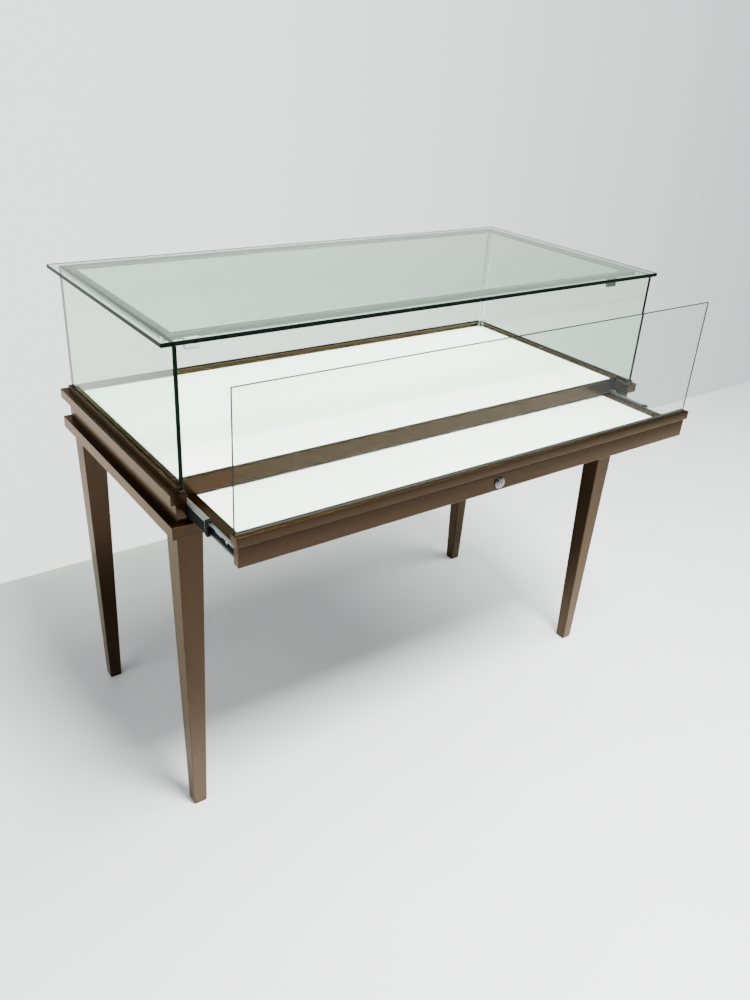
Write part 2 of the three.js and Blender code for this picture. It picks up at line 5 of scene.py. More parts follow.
import bmesh
import bpy
import numpy as np
from mathutils import Matrix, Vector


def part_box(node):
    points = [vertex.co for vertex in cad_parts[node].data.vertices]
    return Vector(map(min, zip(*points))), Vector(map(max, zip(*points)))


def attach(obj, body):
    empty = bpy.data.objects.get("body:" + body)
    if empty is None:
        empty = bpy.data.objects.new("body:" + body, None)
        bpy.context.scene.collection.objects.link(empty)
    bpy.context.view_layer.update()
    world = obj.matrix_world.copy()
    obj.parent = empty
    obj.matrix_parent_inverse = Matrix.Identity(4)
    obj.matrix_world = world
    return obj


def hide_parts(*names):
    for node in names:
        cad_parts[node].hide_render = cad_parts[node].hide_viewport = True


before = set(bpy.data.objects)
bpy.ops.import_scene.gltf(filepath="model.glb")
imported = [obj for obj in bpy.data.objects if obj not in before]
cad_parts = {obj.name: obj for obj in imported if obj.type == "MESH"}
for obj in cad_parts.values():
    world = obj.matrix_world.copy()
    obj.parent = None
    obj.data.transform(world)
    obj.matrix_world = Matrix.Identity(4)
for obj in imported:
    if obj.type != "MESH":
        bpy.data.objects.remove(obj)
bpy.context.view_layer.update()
mm = 0.001

# Camera.
# A phone held at standing height, turned to the right and tilted down, a little off level.
eye = np.array([-1.1059, -1.4310, 1.4598])
heading, tilt, roll = (math.radians(a) for a in (37.198, 27.826, 3.719))
sensor_height = 36
lens_to_picture_height = 0.872465
sight = np.array(
    [math.sin(heading) * math.cos(tilt), math.cos(heading) * math.cos(tilt), -math.sin(tilt)]
)
level_right = np.cross(sight, [0, 0, 1])
level_right /= np.linalg.norm(level_right)
level_up = -np.cross(sight, level_right)
cam_right = math.cos(roll) * level_right + math.sin(roll) * level_up
cam_up = -math.sin(roll) * level_right + math.cos(roll) * level_up


def placed(columns):
    """A pose matrix from its three axes and its place, as the columns."""
    pose = np.eye(4)
    pose[:3] = np.column_stack(columns)
    return Matrix(pose.tolist())


camera = bpy.data.objects.new("camera", bpy.data.cameras.new("camera"))
bpy.context.scene.collection.objects.link(camera)
camera.data.sensor_fit = "VERTICAL"
camera.data.sensor_height = sensor_height
camera.data.lens = sensor_height * lens_to_picture_height
camera.matrix_world = placed([cam_right, cam_up, -sight, eye])
bpy.context.scene.camera = camera


# Floor and light.
# A plain pale polished floor under soft ceiling panels, with a bright wall to the left and behind,
# as in a shop: the left faces of the bronze catch the wall and the front faces stay deep brown.
def linear(colour, alpha=1.0):
    """sRGB hex to linear: c / 12.92 up to 0.04045, else ((c + 0.055) / 1.055) to the power 2.4."""
    c = np.array([int(colour[i : i + 2], 16) for i in (1, 3, 5)]) / 255
    low, high = c / 12.92, ((c + 0.055) / 1.055) ** 2.4
    return (*np.where(c <= 0.04045, low, high).tolist(), alpha)


def add_node(tree, kind, settings=None, links=None):
    """Adds a node; settings fill its sockets or properties, links join its inputs to outputs."""
    made = tree.nodes.new(kind)
    for key, value in (settings or {}).items():
        if isinstance(key, int) or key in made.inputs:
            made.inputs[key].default_value = value
        else:
            setattr(made, key, value)
    for key, source in (links or {}).items():
        tree.links.new(source, made.inputs[key])
    return made


def new_material(name):
    """An empty node material and its output node."""
    material = bpy.data.materials.new(name)
    material.use_nodes = True
    material.node_tree.nodes.clear()
    return material, add_node(material.node_tree, "ShaderNodeOutputMaterial")


def mottled(name, dark, light, scale, settings, detail=2.0, relief=None, gloss=None):
    """A material whose colour drifts between two near tones, in patches of 1 / scale metres.

    settings are those of its surface. relief is the strength and depth of a bump in the same
    patches, and gloss the two ends of a roughness that drifts with them.
    """
    made, out = new_material(name)
    tree = made.node_tree
    where = add_node(tree, "ShaderNodeTexCoord").outputs["Object"]
    patches = add_node(
        tree, "ShaderNodeTexNoise", {"Scale": scale, "Detail": detail}, {"Vector": where}
    ).outputs["Fac"]
    tones = {"data_type": "RGBA", 6: linear(dark), 7: linear(light)}
    links = {"Base Color": add_node(tree, "ShaderNodeMix", tones, {0: patches}).outputs[2]}
    if relief:
        bump = {"Strength": relief[0], "Distance": relief[1]}
        links["Normal"] = add_node(tree, "ShaderNodeBump", bump, {"Height": patches}).outputs[0]
    if gloss:
        ends = {"To Min": gloss[0], "To Max": gloss[1]}
        uneven = add_node(tree, "ShaderNodeMapRange", ends, {"Value": patches})
        links["Roughness"] = uneven.outputs[0]
    surface = add_node(tree, "ShaderNodeBsdfPrincipled", settings, links)
    tree.links.new(surface.outputs[0], out.inputs["Surface"])
    return made


# Polished stone-coloured floor: faint cloudy variation, a soft reflection of what stands on it.
floor_stone = mottled(
    "polished_floor", "#dcdedf", "#e8e9ea", 1.7, {"Roughness": 0.24, "IOR": 1.5}, 3.0
)
floor_half = 9.0
floor_rear = 0.885
floor_corners = [
    (-floor_half, -floor_half, 0),
    (floor_half, -floor_half, 0),
    (floor_half, floor_rear, 0),
    (-floor_half, floor_rear, 0),
]
floor_mesh = bpy.data.meshes.new("floor")
floor_mesh.from_pydata(floor_corners, [], [(0, 1, 2, 3)])
floor_mesh.materials.append(floor_stone)
floor = bpy.data.objects.new("floor", floor_mesh)
bpy.context.scene.collection.objects.link(floor)

# The room's light: strongest low down at the rear left, and falling off upwards.
world = bpy.data.worlds.new("studio")
bpy.context.scene.world = world
world.use_nodes = True
room = world.node_tree
backdrop = room.nodes["Background"]
backdrop.inputs["Color"].default_value = linear("#eef1f2")
sky = add_node(room, "ShaderNodeTexCoord").outputs["Generated"]
towards_rear_left = {"operation": "DOT_PRODUCT", 1: (-0.5, 0.86, 0.0)}
lit_side = add_node(room, "ShaderNodeVectorMath", towards_rear_left, {0: sky}).outputs["Value"]
height = add_node(room, "ShaderNodeSeparateXYZ", {}, {0: sky}).outputs[2]
eased = {"interpolation_type": "SMOOTHSTEP"}
from_dim_to_lit = {"From Min": -0.45, "From Max": 0.7, "To Min": 0.55, "To Max": 2.5}
from_low_to_high = {"From Min": 0.03, "From Max": 0.3, "To Min": 1.0, "To Max": 0.3}
glow = add_node(room, "ShaderNodeMapRange", eased | from_dim_to_lit, {"Value": lit_side})
fall = add_node(room, "ShaderNodeMapRange", eased | from_low_to_high, {"Value": height})
strength = add_node(
    room, "ShaderNodeMath", {"operation": "MULTIPLY"}, {0: glow.outputs[0], 1: fall.outputs[0]}
)
room.links.new(strength.outputs[0], backdrop.inputs["Strength"])


def soft_light(name, place, target, size, power):
    """A rectangular area light at place, facing target; size is its width and height in metres."""
    light = bpy.data.lights.new(name, "AREA")
    light.shape = "RECTANGLE"
    light.size, light.size_y = size
    light.energy = power
    lamp = bpy.data.objects.new(name, light)
    facing = np.array(target, float) - np.array(place, float)
    facing /= np.linalg.norm(facing)
    straight_down = abs(facing[2]) >= 0.99
    side = np.array([1.0, 0, 0]) if straight_down else np.cross(facing, [0, 0, 1])
    side /= np.linalg.norm(side)
    lamp.matrix_world = placed([side, np.cross(side, facing), -facing, place])
    bpy.context.scene.collection.objects.link(lamp)


soft_light("ceiling_panels", (1.7, -0.6, 3.2), (1.7, -0.6, 0), (2.0, 1.6), 170)
soft_light("front_panel", (0.0, -1.4, 3.0), (0.1, -0.3, 0), (1.0, 0.7), 350)
soft_light("left_wall", (-3.3, -0.3, 1.3), (0, 0.1, 0.6), (2.4, 2.0), 70)

# Legs.
# Four tapered square tubes of 2 mm steel, folded with a small corner radius, closed on top and
# plated in brushed bronze. Each is screwed up into the corner of the lower moulding.


def brushed_bronze(name, grain, brush_axis):
    """Bronze-plated metal under a thin clear lacquer, hairline-brushed along one axis.

    grain is the stretch of the brush lines. Lines a few mm apart (real ones are 0.3 mm, too fine
    to show) drive roughness and a faint bump; a slower drift of tone follows the same direction.
    The gloss spreads across the lines, along a tangent that is the normal crossed with
    brush_axis, so a face has one even sheen, and the lacquer adds the faint sharp mirroring that
    the faces show at a low angle.
    """
    made, out = new_material(name)
    tree = made.node_tree
    where = add_node(tree, "ShaderNodeTexCoord").outputs["Object"]
    stretch = add_node(tree, "ShaderNodeMapping", {"Scale": grain}, {"Vector": where}).outputs[0]
    lines, drift = (
        add_node(
            tree, "ShaderNodeTexNoise", {"Scale": scale, "Detail": detail}, {"Vector": stretch}
        ).outputs["Fac"]
        for scale, detail in ((420.0, 3.0), (60.0, 2.0))
    )
    tones = {"data_type": "RGBA", 6: linear("#221507"), 7: linear("#2c1d0d")}
    tone = add_node(tree, "ShaderNodeMix", tones, {0: drift}).outputs[2]
    satin = {"From Min": 0.3, "From Max": 0.7, "To Min": 0.3, "To Max": 0.38}
    gloss = add_node(tree, "ShaderNodeMapRange", satin, {"Value": lines}).outputs[0]
    bump = {"Strength": 0.05, "Distance": 0.0004}
    relief = add_node(tree, "ShaderNodeBump", bump, {"Height": lines}).outputs[0]
    facing = add_node(tree, "ShaderNodeNewGeometry").outputs["Normal"]
    crosswise = add_node(
        tree, "ShaderNodeVectorMath", {"operation": "CROSS_PRODUCT", 1: brush_axis}, {0: facing}
    ).outputs[0]
    metal = add_node(
        tree,
        "ShaderNodeBsdfPrincipled",
        {
            "Metallic": 0.95,
            "Anisotropic": 0.6,
            "Specular Tint": linear("#ffeeda"),
            "Coat Weight": 0.12,
            "Coat Roughness": 0.03,
        },
        {"Base Color": tone, "Roughness": gloss, "Normal": relief, "Tangent": crosswise},
    )
    tree.links.new(metal.outputs[0], out.inputs["Surface"])
    return made


# The axes lean a little, so that a face square to one still has a direction across its lines.
along, across, lean = 0.06, 1.0, 0.03
bronze_x = brushed_bronze("bronze_brushed_x", (along, across, across), (1, lean, lean))
bronze_y = brushed_bronze("bronze_brushed_y", (across, along, across), (lean, 1, lean))
bronze_z = brushed_bronze("bronze_brushed_z", (across, across, along), (lean, lean, 1))


def rounded(corners, radius, steps=4):
    """A closed outline with softened corners.

    Each corner gives way to the curve (1-s)^2 a + 2s(1-s) p + s^2 b between points a and b that
    lie radius away from it along its two edges, with one more point beyond each so that the flats
    stay flat in shading. Where an edge is short, the points stop at 0.38 of it.
    """
    p = np.array(corners, float)
    back, ahead = np.roll(p, 1, 0) - p, np.roll(p, -1, 0) - p
    back_len = np.linalg.norm(back, axis=1, keepdims=True)
    ahead_len = np.linalg.norm(ahead, axis=1, keepdims=True)
    reach = np.minimum(radius, 0.38 * np.minimum(back_len, ahead_len))
    a, b = p + back / back_len * reach, p + ahead / ahead_len * reach
    far_a, far_b = p + back / back_len * reach * 1.25, p + ahead / ahead_len * reach * 1.25
    s = np.linspace(0, 1, steps + 1)[None, :, None]
    curve = (1 - s) ** 2 * a[:, None] + 2 * s * (1 - s) * p[:, None] + s**2 * b[:, None]
    return np.concatenate([far_a[:, None], curve, far_b[:, None]], 1).reshape(-1, 2)


def box_outline(low, high):
    """The four corners of a rectangle, counter-clockwise, from its lowest and highest corner."""
    return [(low[0], low[1]), (high[0], low[1]), (high[0], high[1]), (low[0], high[1])]


def level_rings(levels):
    """Rings of points from pairs of a flat outline and its height."""
    return np.array(
        [np.column_stack([outline, np.full(len(outline), height)]) for outline, height in levels]
    )


def tube_faces(rings, count, closed_along=False):
    """Quads between rings of count points each, joined round; the last ring joins the first if
    closed_along, else both ends get one flat face."""
    ring = np.arange(rings if closed_along else rings - 1)[:, None] * count
    next_ring = (ring + count) % (rings * count)
    i = np.arange(count)[None, :]
    j = (i + 1) % count
    quads = np.stack([ring + i, ring + j, next_ring + j, next_ring + i], -1).reshape(-1, 4)
    first, last = list(range(count))[::-1], list(range((rings - 1) * count, rings * count))
    return quads.tolist() + ([] if closed_along else [first, last])


def outwards(mesh):
    """Turns the faces of a closed mesh outwards."""
    shell = bmesh.new()
    shell.from_mesh(mesh)
    bmesh.ops.recalc_face_normals(shell, faces=shell.faces)
    shell.to_mesh(mesh)
    shell.free()


def make_piece(name, points, faces, materials, body, nodes=(), smooth=40, pick=None):
    """A mesh object from points and faces, its faces turned outwards, riding on body.

    Edges that turn by less than smooth degrees shade round. pick gives a material number for each
    face. nodes are the CAD nodes that it stands for.
    """
    mesh = bpy.data.meshes.new(name)
    mesh.from_pydata(np.asarray(points, float).reshape(-1, 3).tolist(), [], faces)
    for material in materials:
        mesh.materials.append(material)
    if pick is not None:
        mesh.polygons.foreach_set("material_index", np.asarray(pick, np.int32))
    outwards(mesh)
    mesh.shade_smooth()
    mesh.set_sharp_from_angle(angle=math.radians(smooth))
    made = bpy.data.objects.new(name, mesh)
    bpy.context.scene.collection.objects.link(made)
    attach(made, body)
    if nodes:
        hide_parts(*nodes)
    return made


def ringed(name, rings, material, body, nodes=()):
    """A piece of one material whose surface runs through rings of points, flat at both ends."""
    faces = tube_faces(*np.shape(rings)[:2])
    return make_piece(name, rings, faces, [material], body, nodes)


def square_rings(centre, widths, corner):
    """Rounded squares about centre, one for each (width, height) of widths, as points."""
    unit = np.array([[-1, -1], [1, -1], [1, 1], [-1, 1]], float) / 2
    return level_rings([(rounded(unit * width, corner) + centre, z) for width, z in widths])


def corners_of(node):
    """The lowest and highest corner of a CAD node as arrays."""
    low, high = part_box(node)
    return np.array(low), np.array(high)


leg_wall = 2 * mm
leg_roof = 4 * mm
leg_foot = 28 * mm
hem = 0.5 * mm
corner_places = ("front_left", "front_right", "rear_left", "rear_right")
for place in corner_places:
    low, high = corners_of(f"leg_{place}")
    leg_top = high[0] - low[0]
    widths = [
        (leg_top - 2 * leg_wall, high[2] - leg_roof),
        (leg_foot - 2 * leg_wall, low[2] + hem),
        (leg_foot - 2 * leg_wall + hem, low[2]),
        (leg_foot - hem, low[2]),
        (leg_foot, low[2] + hem),
        (leg_top, high[2]),
    ]
    rings = square_rings((low + high)[:2] / 2, widths, 2.2 * mm)
    ringed(f"leg_tube_{place}", rings, bronze_z, "cabinet", [f"leg_{place}"])

# Foot glides.
# Black polypropylene caps with a soft edge, pushed into the open ends of the legs. The plastic is
# matt and finely pebbled, so it stays black without a highlight.
black_plastic = mottled(
    "moulded_black_polypropylene",
    "#0a0b0b",
    "#131414",
    900.0,
    {"Roughness": 0.6, "IOR": 1.49, "Specular IOR Level": 0.04},
    relief=(0.25, 0.0002),
)
glide_rim = 0.8 * mm
glide_seat = 3.9 * mm
glide_plug = 23.4 * mm
for place in corner_places:
    low, high = corners_of(f"foot_{place}")
    pad = high[0] - low[0]
    widths = [
        (pad - 2 * glide_rim, low[2]),
        (pad - 0.6 * glide_rim, low[2] + 0.3 * glide_rim),
        (pad, low[2] + glide_rim),
        (pad, low[2] + glide_seat),
        (glide_plug, low[2] + glide_seat),
        (glide_plug, high[2] - glide_rim),
        (glide_plug - glide_rim, high[2]),
    ]
    rings = square_rings((low + high)[:2] / 2, widths, 1.6 * mm)
    ringed(f"glide_{place}", rings, black_plastic, "cabinet", [f"foot_{place}"])

# Lower moulding.
# Four rails with a board core wrapped in bronze laminate, mitred at the corners and rebated for
# the board that closes the case. The front one is slotted for the cam of the lock.
side_low, side_high = corners_of("base_left_rail")
right_low, right_high = corners_of("base_right_rail")
case_left, case_right = side_low[0], right_high[0]
case_front, case_rear = corners_of("base_front_rail")[0][1], corners_of("base_rear_rail")[1][1]
base_under, base_top = side_low[2], side_high[2]
mitre = 0.15 * mm
edge_wear = 0.7 * mm

# How (distance along, inset from the case's outer face, height) goes to x, y, z on each side.
rail_along = {
    "left": lambda s, inset, z: (case_left + inset, s, z),
    "right": lambda s, inset, z: (case_right - inset, s, z),
    "front": lambda s, inset, z: (s, case_front + inset, z),
    "rear": lambda s, inset, z: (s, case_rear - inset, z),
}
# Where a rail starts or ends for each inset: a mitre at one side of the case, or a square end.
cut_at = {
    "front": lambda inset: case_front + inset + mitre,
    "rear": lambda inset: case_rear - inset - mitre,
    "left": lambda inset: case_left + inset + mitre,
    "right": lambda inset: case_right - inset - mitre,
    "front_square": lambda inset: np.full_like(inset, case_front),
}


def swept_rail(name, profile, side, ends, node):
    """A rail of bronze laminate: a closed (inset, height) profile with softened corners, carried
    along a side of the case between the cuts named by ends, where cut_at says for each inset."""
    outline = rounded(profile, edge_wear)
    inset, z = outline[:, 0], outline[:, 1]
    rings = [
        np.column_stack(np.broadcast_arrays(*rail_along[side](cut_at[end](inset), inset, z)))
        for end in ends
    ]
    grain = bronze_x if side in ("front", "rear") else bronze_y
    return ringed(name, rings, grain, "cabinet", [node])


rail_width = side_high[0] - side_low[0]
rebate = rail_width - 10 * mm
panel_under = base_top - 9 * mm
base_profile = [
    (0, base_under),
    (rail_width, base_under),
    (rail_width, panel_under),
    (rebate, panel_under),
    (rebate, base_top),
    (0, base_top),
]
for side in ("left", "right", "rear", "front"):
    ends = ("front", "rear") if side in ("left", "right") else ("left", "right")
    rail = swept_rail(f"lower_moulding_{side}", base_profile, side, ends, f"base_{side}_rail")


def carried(outline, axis, places):
    """The outline drawn square to an axis at each of places along it, as rings of points."""
    rings = np.empty((len(places), len(outline), 3))
    rings[:, :, axis] = np.array(places)[:, None]
    rings[:, :, [a for a in range(3) if a != axis]] = outline
    return rings


def subtract(piece, rings):
    """Takes the closed tube through rings away from a piece, then shades it as before."""
    tool_mesh = bpy.data.meshes.new("tool")
    tool_mesh.from_pydata(rings.reshape(-1, 3).tolist(), [], tube_faces(*rings.shape[:2]))
    outwards(tool_mesh)
    tool = bpy.data.objects.new("tool", tool_mesh)
    bpy.context.scene.collection.objects.link(tool)
    cut = piece.modifiers.new("cut", "BOOLEAN")
    cut.object, cut.operation, cut.solver = tool, "DIFFERENCE", "EXACT"
    bpy.context.view_layer.update()
    shaped = bpy.data.meshes.new_from_object(
        piece.evaluated_get(bpy.context.evaluated_depsgraph_get())
    )
    piece.modifiers.remove(cut)
    shaped.name = piece.data.name
    piece.data = shaped
    shaped.shade_smooth()
    shaped.set_sharp_from_angle(angle=math.radians(40))
    bpy.data.objects.remove(tool)


def cut_away(piece, low, high, radius=0.0):
    """Cuts a box with the given corners out of a piece, its upright corners rounded by radius."""
    low, high = np.minimum(low, high), np.maximum(low, high)
    outline = np.array(box_outline(low, high))
    outline = rounded(outline, radius) if radius else outline
    subtract(piece, carried(outline, 2, (low[2], high[2])))


mortise_x = (-8.4 * mm, 32.2 * mm)
mortise_y = (case_front + 18.3 * mm, case_front + 27.3 * mm)
mortise_z = (base_top - 12 * mm, base_top + 5 * mm)
cut_away(rail, *zip(mortise_x, mortise_y, mortise_z), 2 * mm)

# Boards: base, deck and drawer.
# Boards faced with white high-gloss laminate, a hard smooth skin with the faintest waviness.
# They lie loose in the rebates and grooves of the rails round them. The one that closes the case
# is backed with the bronze laminate below.
white_laminate = mottled(
    "white_gloss_laminate",
    "#f1f2f0",
    "#f6f6f4",
    26.0,
    {"Roughness": 0.22, "IOR": 1.5},
    1.0,
    (0.04, 0.002),
)


def soft_block(low, high, radius):
    """A block whose twelve edges are rounded: a rounded rectangle carried up through levels whose
    outline is drawn in by radius (1 - sin t) while the height moves by radius (1 - cos t)."""
    low, high = np.array(low), np.array(high)
    turn = np.linspace(0, math.pi / 2, 4)
    inwards = np.concatenate([radius * (1 - np.sin(turn)), radius * (1 - np.cos(turn))])
    heights = np.concatenate(
        [low[2] + radius * (1 - np.cos(turn)), high[2] - radius * (1 - np.sin(turn))]
    )
    levels = []
    for inset, z in zip(inwards, heights):
        corners = box_outline(low[:2] + inset, high[:2] - inset)
        levels.append((rounded(corners, max(radius - inset, 0.05 * mm), 3), z))
    return level_rings(levels)


def block_of(name, node, radius, material, body):
    """A soft block as large as a CAD node, which it stands for."""
    return ringed(name, soft_block(*corners_of(node), radius), material, body, [node])


for node, body, name in (
    ("base_panel", "cabinet", "case_bottom_board"),
    ("deck", "cabinet", "display_deck"),
    ("drawer_panel", "drawer", "drawer_board"),
):
    board = block_of(name, node, 0.5 * mm, white_laminate, body)
    board.data.materials.append(bronze_x)
    underside = len(board.data.polygons) - 2  # The flat ends come last, the lower one first.
    board.data.polygons[underside].material_index = 1 if node == "base_panel" else 0

# Recessed band.
# Flat boards in bronze laminate between the two mouldings, set back 13 mm. The rear one has a hole
# for the supply lead's socket.
for side, grain in (("left", bronze_y), ("right", bronze_y), ("rear", bronze_x)):
    band = block_of(
        f"band_{side}", f"fascia_{side}", 0.5 * mm, grain, "cabinet"
    )


def circle(radius, middle, count):
    """middle + radius (cos t, sin t), at count steps of t round the circle."""
    t = np.linspace(0, 2 * math.pi, count, endpoint=False)
    return np.array(middle) + radius * np.column_stack([np.cos(t), np.sin(t)])


round_count = 64
inlet_low, inlet_high = corners_of("power_inlet")
face_y, back_y = inlet_high[1], inlet_low[1]
inlet = (inlet_low + inlet_high)[[0, 2]] / 2
hole = circle(7.3 * mm, inlet, round_count)
band_rear_y = corners_of("fascia_rear")[1][1]
subtract(band, carried(hole, 1, (band_rear_y - 30 * mm, band_rear_y + 10 * mm)))

# Socket for the supply lead.
# A black moulded low-voltage socket with a round flange and a plated centre pin, pushed into the
# rear band.
needle = 0.01 * mm


def turned(profile, axis, middle, start=0.0, sign=1, count=round_count):
    """A closed (radius, out) profile turned about a line along axis: the coordinate along it is
    start + sign out and the other two are middle + r (cos t, sin t). Points on the line are
    pulled out to the radius of a needle, so that every ring is whole."""
    outline = np.array(profile, float)
    radii = np.maximum(outline[:, 0], needle)
    rings = [
        carried(circle(r, middle, count), axis, [start + sign * out])[0]
        for r, out in zip(radii, outline[:, 1])
    ]
    return np.array(rings), tube_faces(len(rings), count, closed_along=True)


socket_profile = [
    (0, back_y),
    (6.4 * mm, back_y),
    (7.0 * mm, back_y + 0.6 * mm),
    (7.0 * mm, face_y - 2 * mm),
    (8.7 * mm, face_y - 2 * mm),
    (9.0 * mm, face_y - 1.7 * mm),
    (9.0 * mm, face_y - 0.6 * mm),
    (8.4 * mm, face_y),
    (4.6 * mm, face_y),
    (4.0 * mm, face_y - 0.5 * mm),
    (4.0 * mm, face_y - 12 * mm),
    (0, face_y - 12 * mm),
]
points, faces = turned(socket_profile, 1, inlet)
make_piece(
    "supply_socket", points, faces, [black_plastic], "cabinet", ["power_inlet"]
)


# Nickel-chrome plating, nearly a mirror, with a gloss that varies a little.
metal = {"Metallic": 1.0}
chrome = mottled(
    "bright_nickel_chrome", "#666768", "#7f8081", 120.0, metal, 3.0, gloss=(0.05, 0.11)
)
pin_profile = [
    (0, face_y - 12.2 * mm),
    (1.0 * mm, face_y - 12.2 * mm),
    (1.0 * mm, face_y - 3.4 * mm),
    (0.7 * mm, face_y - 3 * mm),
    (0, face_y - 3 * mm),
]
points, faces = turned(pin_profile, 1, inlet, count=24)
make_piece("supply_socket_pin", points, faces, [chrome], "cabinet")

# Upper moulding.
# Bronze-wrapped rails with a raised bead outside the glass and a ledge for the deck inside it,
# mitred at the two rear corners. The side ones run to the front and lose their ledge there.
cornice_low, cornice_high = corners_of("cornice_left")
cornice_under, bead_top = cornice_low[2], cornice_high[2]
cornice_top = bead_top - 10 * mm
deck_low = corners_of("deck")[0]
bead_recess, bead_inner = 13 * mm, 18.7 * mm
flange, ledge = 30 * mm, 45 * mm
top_profile = [
    (0, cornice_under),
    (ledge, cornice_under),
    (ledge, deck_low[2]),
    (flange, deck_low[2]),
    (flange, cornice_top),
    (bead_inner, cornice_top),
    (bead_inner, bead_top),
    (bead_recess, bead_top),
    (bead_recess, cornice_top),
    (0, cornice_top),
]
past = 20 * mm
bead_stop = 4 * mm
for side, outer, inwards in (("left", case_left, 1), ("right", case_right, -1)):
    ends = ("front_square", "rear")
    moulding = swept_rail(
        f"upper_moulding_{side}", top_profile, side, ends, f"cornice_{side}"
    )
    cut_away(
        moulding,
        (outer + inwards * flange, case_front - past, cornice_under - past),
        (outer + inwards * 110 * mm, deck_low[1] + 0.3 * mm, cornice_top + 30 * mm),
    )
    cut_away(
        moulding,
        (outer + inwards * 12 * mm, case_front - past, cornice_top),
        (outer + inwards * 19 * mm, case_front + bead_stop, cornice_top + 30 * mm),
    )
swept_rail("upper_moulding_rear", top_profile, "rear", ("left", "right"), "cornice_rear")

# Strips inside the glass.
# Square bronze strips pinned down on the deck, which hold the panes against the bead.
for side, grain in (("left", bronze_y), ("right", bronze_y), ("rear", bronze_x)):
    node = f"inner_strip_{side}"
    block_of(f"glazing_strip_{side}", node, 0.6 * mm, grain, "cabinet")

# Front rail.
# The fixed rail between the deck and the drawer, in the same laminate, screwed between the ends of
# the upper moulding and notched at both ends for the slides.
rail_low, rail_high = corners_of("front_rail")
band_end = corners_of("fascia_right")[0][0]
notch_room = 0.3 * mm
notch_x = corners_of("drawer_side_right")[1][0] - notch_room
notch_top = corners_of("slide_outer_right")[1][2] + notch_room
right_half = [
    (notch_x, rail_low[2]),
    (notch_x, notch_top),
    (band_end, notch_top),
    (band_end, cornice_under),
    (rail_high[0], cornice_under),
    (rail_high[0], rail_high[2]),
]
outline = rounded(right_half + [(-x, z) for x, z in right_half[::-1]], 0.5 * mm)
rings = carried(outline, 1, (rail_low[1], rail_high[1]))
ringed("fixed_front_rail", rings, bronze_x, "cabinet", ["front_rail"])

# Glass.
# Clear float glass, faintly green, with flat faces and arrised edges. The edges are painted shade:
# opaque near-black, for how dark glass looks end on.
# The sides and the rear stand in the groove of the upper moulding and the top is glued on them.


def see_through(name, colour, ior, roughness, waves, relief):
    """A clear solid with faint waves (their scale and detail) from its making, which bump it by
    relief (strength and depth); lamps shine through it unbent."""
    made, out = new_material(name)
    tree = made.node_tree
    where = add_node(tree, "ShaderNodeTexCoord").outputs["Object"]
    noise = {"Scale": waves[0], "Detail": waves[1]}
    ripple = add_node(tree, "ShaderNodeTexNoise", noise, {"Vector": where}).outputs[0]
    bump = {"Strength": relief[0], "Distance": relief[1]}
    solid = {
        "Base Color": linear(colour),
        "Roughness": roughness,
        "IOR": ior,
        "Specular Tint": linear("#8c8c8c"),
        "Transmission Weight": 1.0,
    }
    skin = add_node(tree, "ShaderNodeBump", bump, {"Height": ripple}).outputs[0]
    body = add_node(tree, "ShaderNodeBsdfPrincipled", solid, {"Normal": skin}).outputs[0]
    clear = add_node(tree, "ShaderNodeBsdfTransparent", {"Color": linear(colour)}).outputs[0]
    lamp_ray = add_node(tree, "ShaderNodeLightPath").outputs["Is Shadow Ray"]
    seen = add_node(tree, "ShaderNodeMixShader", {}, {0: lamp_ray, 1: body, 2: clear})
    tree.links.new(seen.outputs[0], out.inputs["Surface"])
    return made


roller_waves, roller_relief = (5.0, 1.0), (0.015, 0.002)
float_glass = see_through(
    "clear_float_glass", "#e9f7eb", 1.45, 0.0, roller_waves, roller_relief
)
# Painted shade: the edges are opaque near-black in place of the dark look of glass seen end on.
glass_edge = mottled(
    "glass_edge_painted_near_black",
    "#020504",
    "#060d0a",
    700.0,
    {"Roughness": 0.3, "IOR": 1.52, "Specular IOR Level": 0.04},
)


def glass_pane(name, node, body, arris, foot=0.0, clear=float_glass):
    """A pane with its edges arrised: a block through four levels, drawn in by arris at the two
    faces. The two large faces are clear and every edge is painted shade, opaque near-black."""
    low, high = corners_of(node)
    low[2] += foot
    thin = int(np.argmin(high - low))
    wide = [axis for axis in range(3) if axis != thin]
    near, far = low[thin], high[thin]
    rings = []
    for inset, depth in ((arris, near), (0, near + arris), (0, far - arris), (arris, far)):
        outline = box_outline(low[wide] + inset, high[wide] - inset)
        rings.append(carried(outline, thin, [depth])[0])
    faces = tube_faces(4, 4)
    pick = [1] * (len(faces) - 2) + [0, 0]
    make_piece(name, rings, faces, [clear, glass_edge], body, [node], 20, pick)


strip_room = 0.1 * mm
glass_pane("side_pane_left", "glass_left", "cabinet", 0.6 * mm, strip_room)
glass_pane("side_pane_right", "glass_right", "cabinet", 0.6 * mm, strip_room)
glass_pane("rear_pane", "glass_rear", "cabinet", 0.6 * mm, strip_room)
glass_pane("top_pane", "glass_top", "cabinet", 0.8 * mm)

# Setting strips.
# Black rubber strips under the panes, in the bottom of the groove, matt with a dusty bloom.
rubber = mottled(
    "black_epdm_rubber", "#141514", "#242624", 300.0, {"Roughness": 0.75, "IOR": 1.5}, 3.0
)
for side in ("left", "right", "rear"):
    node = f"seat_{side}"
    block_of(f"setting_strip_{side}", node, 0.6 * mm, rubber, "cabinet")

